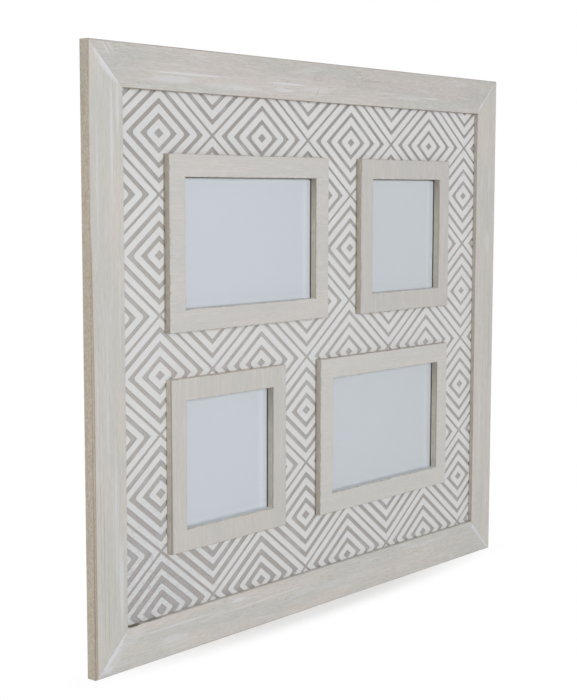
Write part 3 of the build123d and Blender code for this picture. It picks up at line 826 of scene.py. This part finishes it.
def pattern_tree():
    """Makes the tree that draws the bands, cuts them by the panel and the windows, and raises them."""
    not_sizes = ("bands", "seed", "white")
    sizes = [socket_name(name) for name in PatternSettings.__annotations__ if name not in not_sizes]
    sizes += ["Panel width", "Panel height", "Coat height"]
    inputs = [("Windows", "Geometry", None)] + [(name, "Float", 0.0) for name in sizes]
    inputs += [("Bands", "Int", 4), ("Seed", "Int", 0), ("Material", "Material", None)]
    group, tree, given, result = new_group("Raised diamonds", inputs, [("Coat", "Geometry")],
                                           "GeometryNodeTree")
    vector, join = tree.vector, tree.join
    width, height = given["Diamond width"], given["Diamond height"]
    panel_width, panel_height = given["Panel width"], given["Panel height"]
    half_span = width * height * 0.5 / vector("LENGTH", join(width, height, 0.0))

    def store(geometry, name, value, kind="FLOAT", domain="POINT", where=None):
        """Stores an attribute on a geometry."""
        return tree.get("GeometryNodeStoreNamedAttribute", geometry, Selection=where, Name=name, Value=value,
                        setup={"data_type": kind, "domain": domain})

    def stored(name, kind="FLOAT_VECTOR"):
        """Reads an attribute."""
        return tree.get("GeometryNodeInputNamedAttribute", Name=name, setup={"data_type": kind})

    def joined(*parts):
        """Joins geometries."""
        node = tree.add("GeometryNodeJoinGeometry")
        for part in parts:
            tree.put(node.inputs[0], part)
        return Field(tree, node.outputs[0])

    def outline(inset, side_round, top_round, way, reach):
        """Draws one diamond a distance inside the seam line, and stores what its edge needs later."""
        share = tree.most(1.0 - inset / half_span, 0.001)
        half = height * share * 0.5
        kite = tree.get("GeometryNodeCurvePrimitiveQuadrilateral", setup={"mode": "KITE"},
                        Width=width * share, Bottom_Height=half, Top_Height=half)
        if side_round is not None:
            x, y, _ = tree.split(tree.get("GeometryNodeInputPosition"))
            radius = (abs(x) > abs(y)) * (side_round - top_round) + top_round
            kite = tree.get("GeometryNodeFilletCurve", Curve=kite, Count=4, Radius=radius, Limit_Radius=True,
                            setup={"mode": "POLY"})
        here = tree.get("GeometryNodeInputPosition")
        following = tree.get("GeometryNodeOffsetPointInCurve", Offset=1, out="Point Index")
        there = tree.get("GeometryNodeFieldAtIndex", Index=following, Value=here,
                         setup={"data_type": "FLOAT_VECTOR", "domain": "POINT"})
        stretch = vector("DISTANCE", here, there)
        cuts = tree.most(tree.math("ROUND", stretch / given["Spacing"]) - 1.0, 0.0)
        kite = tree.get("GeometryNodeSubdivideCurve", Curve=kite, Cuts=cuts)
        tangent = tree.split(tree.get("GeometryNodeInputTangent"))
        normal = join(tangent[1], tangent[0] * -1.0, 0.0)
        facing = tree.math("SIGN", vector("DOT_PRODUCT", normal, here))
        kite = store(kite, "outward", vector("SCALE", normal, facing * way), "FLOAT_VECTOR")
        return store(kite, "reach", reach)

    # One diamond: a white band after a white band, from the seam to the dot in the middle
    start = tree.add("GeometryNodeRepeatInput")
    end = tree.add("GeometryNodeRepeatOutput")
    start.pair_with_output(end)
    tree.fill(start, Iterations=given["Bands"])
    earlier = Outputs(tree, start)
    outer_inset = given["Seam"] * 0.5 + earlier["Iteration"] * (given["Band"] + given["Groove"])
    later = tree.least(earlier["Iteration"], 1.0)
    side_round = given["Outer round"] + later * (given["Side round"] - given["Outer round"])
    # The thin seams stay open where the coat is full
    outer = outline(outer_inset, side_round, given["Top round"], 1.0, tree.most(later, 0.15))
    inner = outline(outer_inset + given["Band"], None, None, -1.0, 1.0)
    tree.fill(end, Geometry=joined(earlier["Geometry"], outer, inner))

    # The diamonds stand in columns half a diamond apart, every other one half a diamond higher
    columns = tree.math("CEIL", panel_width / (width * 0.5)) + 4.0
    rows = tree.math("CEIL", panel_height / height) + 3.0
    index = tree.get("GeometryNodeInputIndex")
    column = index % columns
    row = tree.math("FLOOR", (index + 0.5) / columns)

    def start_line(first, panel, step):
        """Gives the place of the first column or row beyond the panel's low side."""
        back = tree.math("CEIL", (panel * 0.5 + first) / step)
        return first - (back + 1.0) * step

    lattice_x = start_line(given["First x"], panel_width, width) + column * (width * 0.5)
    lattice_y = start_line(given["First z"], panel_height, height) + (row + column % 2.0 * 0.5) * height
    lattice = tree.turned(join(lattice_x, lattice_y, 0.0), given["Turn"])
    points = tree.get("GeometryNodePoints", Count=columns * rows, Position=lattice)
    x, y, _ = tree.split(tree.get("GeometryNodeInputPosition"))
    beyond = tree.most(abs(x) > (panel_width + width) * 0.5, abs(y) > (panel_height + height) * 0.5)
    points = tree.get("GeometryNodeDeleteGeometry", points, beyond, setup={"domain": "POINT"})
    spread = tree.get("GeometryNodeInstanceOnPoints", points, Instance=end.outputs["Geometry"],
                      Rotation=join(0.0, 0.0, given["Turn"]))
    loops = tree.get("GeometryNodeRealizeInstances", spread)

    # The edges wander, starve in the bottom left corner and fill out in the middle
    here = tree.get("GeometryNodeInputPosition")
    outward = tree.turned(stored("outward"), given["Turn"])
    seeded = vector("ADD", here, join(given["Seed"], 0.0, 0.0))
    wander = tree.noise(seeded, 1.0, 0.5, 130.0) - 0.5 + (tree.noise(seeded, 2.0, 0.6, 420.0) - 0.5) * 0.5
    corner = join(panel_width * -0.5, panel_height * -0.5, 0.0)
    corner_distance = vector("LENGTH", vector("MULTIPLY", vector("SUBTRACT", here, corner), (0.45, 1.2, 0.0)))
    starving = tree.ramp(corner_distance, 0.03, 0.12, 1.0, 0.0)
    across, up, _ = tree.split(vector("DIVIDE", here, join(panel_width, panel_width, 1.0)))
    in_row = tree.ramp(abs(up), 0.14, 0.03)
    full = given["Full"] + in_row * given["Full row"] + across * given["Full right"] + up * given["Full top"]
    full = full - starving * given["Starved"]
    offset = wander * given["Unevenness"] * (1.0 + starving * 2.2) + full * stored("reach", "FLOAT")
    # The print bows to the right towards its sides and corners
    pull = across * across * 4.4 + up * up * 2.2 + across * up * 2.6
    pull = (pull - 0.55) * given["Bow"]
    moved = vector("ADD", vector("SCALE", outward, offset), join(pull, 0.0, 0.0))
    loops = tree.get("GeometryNodeSetPosition", loops, Offset=moved)

    # All outlines are filled at once. The panel and a larger sheet around it keep the count of edges even
    panel = tree.get("GeometryNodeCurvePrimitiveQuadrilateral", panel_width, panel_height)
    sheet = tree.get("GeometryNodeCurvePrimitiveQuadrilateral", panel_width * 2.0, panel_height * 2.0)
    openings = tree.get("GeometryNodeMeshToCurve", given["Windows"])
    filled = tree.get("GeometryNodeFillCurve", joined(loops, panel, sheet, openings),
                      setup={"mode": "TRIANGLES"})
    here = tree.get("GeometryNodeInputPosition")
    x, y, _ = tree.split(here)
    outside = tree.most(abs(x) > panel_width * 0.5, abs(y) > panel_height * 0.5)
    above = vector("ADD", here, (0.0, 0.0, 0.001))
    in_window = tree.get("GeometryNodeRaycast", given["Windows"], Source_Position=above,
                         Ray_Direction=(0.0, 0.0, -1.0), Ray_Length=0.002, out="Is Hit")
    gone = tree.most(outside, in_window)
    kept = tree.get("GeometryNodeDeleteGeometry", filled, gone, setup={"domain": "FACE"})

    # Raised, drawn in for the shoulder, and drawn in once more on the flat for the thin edge
    base = tree.get("GeometryNodeFlipFaces", kept)
    raised = store(kept, "edge", 1.0)
    top = None
    for share, draw_in in ((0.76, None), (0.24, given["Shoulder"]), (0.0, given["Thin edge"])):
        lift = tree.add("GeometryNodeExtrudeMesh", raised, Selection=top, Offset_Scale=1.0, Individual=False,
                        Offset=join(0.0, 0.0, given["Coat height"] * share), setup={"mode": "FACES"})
        raised, top = lift.outputs["Mesh"], lift.outputs["Top"]
        if draw_in is None:
            wall = vector("SCALE", tree.get("GeometryNodeInputNormal"), lift.outputs["Side"])
            raised = store(raised, "rim", wall, "FLOAT_VECTOR", "FACE")
            raised = store(raised, "rim", vector("NORMALIZE", stored("rim")), "FLOAT_VECTOR")
        else:
            inward = vector("SCALE", stored("rim"), draw_in * -1.0)
            raised = tree.get("GeometryNodeSetPosition", raised, Selection=top, Offset=inward)
    raised = store(raised, "edge", 0.0, where=top)
    closed = tree.get("GeometryNodeMergeByDistance", joined(raised, base), Distance=1e-6)
    upright = tree.get("GeometryNodeTransform", closed, Rotation=(math.pi / 2, 0.0, 0.0))
    real = tree.get("GeometryNodeRealizeInstances", upright)
    tree.fill(result, Coat=tree.get("GeometryNodeSetMaterial", real, Material=given["Material"]))
    return group


def rectangle(low_x, low_y, high_x, high_y, z=0.0):
    """Gives the four corners of a flat rectangle."""
    return [(low_x, low_y, z), (high_x, low_y, z), (high_x, high_y, z), (low_x, high_y, z)]


def flat_mesh(name, outlines):
    """Makes a mesh with one flat face for each outline."""
    shape = bmesh.new()
    for corners in outlines:
        shape.faces.new([shape.verts.new(corner) for corner in corners])
    return finished_mesh(name, shape)


def finished_mesh(name, shape):
    """Turns a shape that was being edited into a mesh."""
    mesh = bpy.data.meshes.new(name)
    shape.to_mesh(mesh)
    shape.free()
    return mesh


def new_object(name, data):
    """Links a mesh, a lamp or a camera to the scene as an object."""
    thing = bpy.data.objects.new(name, data)
    bpy.context.scene.collection.objects.link(thing)
    return thing


def stand_for(piece, node):
    """Puts a finished piece in place of a node of the model."""
    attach(piece, "frame")
    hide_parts(node)


def window_opening(window):
    """Gives a window's outline in the board, a little larger than its pane."""
    low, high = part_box("backing_" + window)
    play = 0.4 * MM
    return rectangle(low.x - play, low.z - play, high.x + play, high.z + play)


def grown(name, mesh, tree, values):
    """Runs a geometry node tree on a mesh and gives the plain mesh that it makes."""
    seed_object = new_object(name + "_seed", mesh)
    modifier = seed_object.modifiers.new("Grow", "NODES")
    modifier.node_group = tree
    for item in tree.interface.items_tree:
        if item.item_type == "SOCKET" and item.in_out == "INPUT" and item.name in values:
            modifier[item.identifier] = values[item.name]
    graph = bpy.context.evaluated_depsgraph_get()
    graph.update()
    made = bpy.data.meshes.new_from_object(seed_object.evaluated_get(graph), depsgraph=graph)
    seed_object.modifiers.remove(modifier)
    bpy.data.objects.remove(seed_object)
    made.name = name
    return made


def make_pattern():
    """Grows the raised diamonds in place of the plain layer of the model."""
    wanted = settings().pattern
    values = {socket_name(name): getattr(wanted, name) for name in PatternSettings.__annotations__}
    low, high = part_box("white_pattern")
    size = high - low
    values.update({"Panel width": size.x, "Panel height": size.z, "Coat height": size.y,
                   "Material": coat_material()})
    plan = flat_mesh("windows", [window_opening(window) for window in WINDOWS])
    made = grown("raised_diamonds", plan, pattern_tree(), values)
    for vertex in made.vertices:
        vertex.co.y += high.y
    for name in ("rim", "outward", "reach"):
        if name in made.attributes:
            made.attributes.remove(made.attributes[name])
    stand_for(new_object("raised_diamonds", made), "white_pattern")


# Panes

def make_panes():
    """Makes the four panes, with ground edges and a hair's breadth of air before the sheet."""
    material = glass_material()
    arris = settings().window.pane_arris
    air = (0.0, 2 * 0.03 * MM, 0.0)
    for window in WINDOWS:
        low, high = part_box("glass_" + window)
        size = high - low
        shape = bmesh.new()
        bmesh.ops.create_cube(shape, size=1.0)
        for vertex in shape.verts:
            vertex.co = Vector([(low[i] + high[i]) / 2 + vertex.co[i] * (size[i] - air[i]) for i in range(3)])
        bmesh.ops.bevel(shape, geom=shape.edges[:], offset=arris, segments=2, profile=0.5, affect="EDGES")
        mesh = finished_mesh("pane_" + window, shape)
        mesh.materials.append(material)
        stand_for(new_object("pane_" + window, mesh), "glass_" + window)


# Stage

WHITE = (1.0, 1.0, 1.0, 1.0)
SENSOR_WIDTH = 36.0
# Half the floor's side in metres, and how far its shadow spreads from the frame in millimetres
FLOOR_REACH = 6.0
SHADOW_REACH = (290.0, 35.0)


def lamp(name, place, size, power):
    """Adds a large soft lamp that faces the middle of the frame."""
    light = bpy.data.lights.new(name, "AREA")
    light.size = size
    light.energy = power
    thing = new_object(name, light)
    thing.location = place
    thing.rotation_euler = (-Vector(place)).to_track_quat("-Z", "Y").to_euler()


def seen_directly(tree):
    """Gives 1 where the camera sees a surface, also in a mirror or through glass."""
    path = Outputs(tree, tree.add("ShaderNodeLightPath"))
    return tree.most(path["Is Camera Ray"], tree.most(path["Is Glossy Ray"], path["Is Transmission Ray"]))


def make_floor():
    """Makes the pale floor, white to the camera outside the object's shadow."""
    material, tree, shader, place = new_material("Pale floor", specular=0.1)
    base = tree.varied(tuple(settings().stage.floor), tree.noise(place, scale=0.003), 0.01)
    tree.fill(shader, Base_Color=base, Roughness=0.9)
    glow = tree.get("ShaderNodeEmission", WHITE, 1.0)
    x, y, _ = tree.split(place)
    away = tree.vector("LENGTH", tree.join(x / SHADOW_REACH[0], y / SHADOW_REACH[1], 0.0))
    share = tree.ramp(away, 0.25, 1.0, 0.45, 1.0) * seen_directly(tree)
    mixed = tree.get("ShaderNodeMixShader", share, shader.outputs[0], glow)
    tree.fill(material.node_tree.nodes["Material Output"], Surface=mixed)
    outline = rectangle(-FLOOR_REACH, -FLOOR_REACH, FLOOR_REACH, FLOOR_REACH, cad_box[0].z)
    mesh = flat_mesh("floor", [outline])
    mesh.materials.append(material)
    new_object("floor", mesh)


def make_light():
    """Makes the even light, white behind the object, and the two lamps."""
    wanted = settings().stage
    world = bpy.data.worlds.new("Studio")
    world.use_nodes = True
    bpy.context.scene.world = world
    tree = Tree(world.node_tree)
    lit = world.node_tree.nodes["Background"]
    tree.fill(lit, Color=WHITE, Strength=wanted.world)
    white = tree.get("ShaderNodeBackground", WHITE, 1.0)
    mixed = tree.get("ShaderNodeMixShader", seen_directly(tree), lit.outputs[0], white)
    tree.fill(world.node_tree.nodes["World Output"], Surface=mixed)
    lamp("key", (-0.95, -2.4, 0.45), 1.5, wanted.key)
    lamp("behind", (0.8, 2.4, 0.9), 1.5, wanted.behind)


def make_camera():
    """Makes the camera, where the photograph was taken from."""
    wanted = settings().stage
    camera = bpy.data.cameras.new("camera")
    camera.lens = wanted.lens
    camera.sensor_width = SENSOR_WIDTH
    camera.clip_start = 0.01
    thing = new_object("camera", camera)
    thing.location = wanted.camera_place
    thing.rotation_euler = wanted.camera_turn
    bpy.context.scene.camera = thing
    bpy.context.scene.view_settings.view_transform = "Standard"


# Operators and panel

class PHOTOFRAME_OT_stage(bpy.types.Operator):
    """Makes the floor, the light and the camera"""
    bl_idname = "photoframe.stage"
    bl_label = "Stage"

    def execute(self, context):
        make_floor()
        make_light()
        make_camera()
        return {"FINISHED"}


class PHOTOFRAME_OT_rails(bpy.types.Operator):
    """Gives the four rails their washed wood"""
    bl_idname = "photoframe.rails"
    bl_label = "Rails"

    def execute(self, context):
        for node, along in RAILS.items():
            dress(node, rail_material(node, along))
        return {"FINISHED"}


class PHOTOFRAME_OT_surrounds(bpy.types.Operator):
    """Gives the four surrounds their washed wood"""
    bl_idname = "photoframe.surrounds"
    bl_label = "Surrounds"

    def execute(self, context):
        for window, along in SURROUNDS.items():
            dress("surround_" + window, surround_material(window, along))
        return {"FINISHED"}


class PHOTOFRAME_OT_board(bpy.types.Operator):
    """Paints the board behind the pattern"""
    bl_idname = "photoframe.board"
    bl_label = "Board"

    def execute(self, context):
        dress("panel_board", board_material())
        return {"FINISHED"}


class PHOTOFRAME_OT_pattern(bpy.types.Operator):
    """Grows the raised white diamonds"""
    bl_idname = "photoframe.pattern"
    bl_label = "Raised diamonds"

    def execute(self, context):
        make_pattern()
        return {"FINISHED"}


class PHOTOFRAME_OT_panes(bpy.types.Operator):
    """Makes the glass panes"""
    bl_idname = "photoframe.panes"
    bl_label = "Panes"

    def execute(self, context):
        make_panes()
        return {"FINISHED"}


class PHOTOFRAME_OT_sheets(bpy.types.Operator):
    """Gives the blank sheets and the backing boards their finish"""
    bl_idname = "photoframe.sheets"
    bl_label = "Sheets and backing boards"

    def execute(self, context):
        backing = hardboard_material()
        for window in WINDOWS:
            dress("insert_" + window, sheet_material(window))
            dress("backing_" + window, backing)
        return {"FINISHED"}


class PHOTOFRAME_OT_hardware(bpy.types.Operator):
    """Gives the turn buttons, hangers, screws, pins and nails their metal"""
    bl_idname = "photoframe.hardware"
    bl_label = "Hardware"

    def execute(self, context):
        zinc = metal_material("Zinc plate", 164, 167, 170, 0.28, 0.46)
        steel = metal_material("Bright steel", 150, 149, 147, 0.24, 0.4)
        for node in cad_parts:
            if node.startswith(("turn_button_", "keyhole_hanger_")):
                dress(node, zinc)
            elif node in ("button_screws", "surround_pins", "rail_pins", "hanger_screws", "mitre_nails"):
                dress(node, steel)
        return {"FINISHED"}


PIECES = (PHOTOFRAME_OT_rails, PHOTOFRAME_OT_surrounds, PHOTOFRAME_OT_board, PHOTOFRAME_OT_pattern,
          PHOTOFRAME_OT_panes, PHOTOFRAME_OT_sheets, PHOTOFRAME_OT_hardware, PHOTOFRAME_OT_stage)


class PHOTOFRAME_PT_panel(bpy.types.Panel):
    """Lists the pieces of the photo frame"""
    bl_label = "Collage photo frame"
    bl_idname = "PHOTOFRAME_PT_panel"
    bl_space_type = "VIEW_3D"
    bl_region_type = "UI"
    bl_category = "Photo frame"

    def draw(self, context):
        for part in ("pattern", "wood", "window", "stage"):
            values = getattr(context.scene.photo_frame, part)
            box = self.layout.box()
            for name in values.__annotations__:
                box.prop(values, name)
        for piece in PIECES:
            self.layout.operator(piece.bl_idname)


CLASSES = (PatternSettings, WoodSettings, WindowSettings, StageSettings, FrameSettings,
           *PIECES, PHOTOFRAME_PT_panel)


def register():
    """Registers the classes and the scene's settings."""
    for item in CLASSES:
        bpy.utils.register_class(item)
    bpy.types.Scene.photo_frame = PointerProperty(type=FrameSettings)


def unregister():
    """Removes the settings and the classes."""
    del bpy.types.Scene.photo_frame
    for item in reversed(CLASSES):
        bpy.utils.unregister_class(item)


def main():
    """Makes every piece and the stage."""
    register()
    for piece in PIECES:
        group, name = piece.bl_idname.split(".")
        getattr(getattr(bpy.ops, group), name)()


if __name__ == "__main__":
    main()
